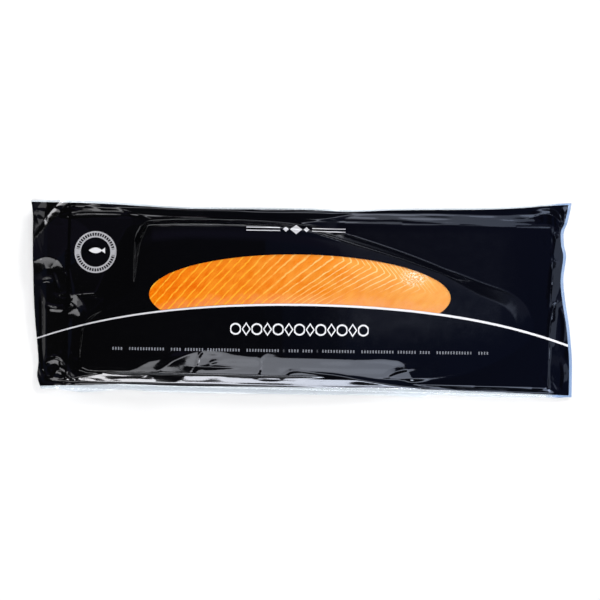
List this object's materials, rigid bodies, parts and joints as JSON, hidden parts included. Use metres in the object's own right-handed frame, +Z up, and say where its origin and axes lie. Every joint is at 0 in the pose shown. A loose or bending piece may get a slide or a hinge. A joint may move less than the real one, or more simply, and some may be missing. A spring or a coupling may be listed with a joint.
{
  "type": "pack of smoked salmon",
  "caption": "Long flat vacuum pack: a whole side of smoked salmon on a card in a black film pouch with a lens-shaped clear window.",
  "frame": {"origin": "on the table, under the middle of the pouch's box", "axes": "+X along the pack towards the thin end of the fish, +Y towards the thick back of the fish, +Z up out of the printed face"},
  "size_m": [0.5846, 0.2108, 0.0318],
  "materials": {
    "black_film": "glossy printed black laminate film, drawn tight and creased at the rim and corners",
    "clear_film": "clear glossy film, unprinted, seen over the fish and as a narrow margin at the rim",
    "salmon_flesh": "moist cured and smoked salmon flesh, orange with pale fat lines",
    "gold_card": "stiff card with a foil-laminated face"
  },
  "bodies": {
    "root": {"pouch": "black_film", "window_pane": "clear_film", "salmon_side": "salmon_flesh", "card": "gold_card"}
  },
  "joints": []
}
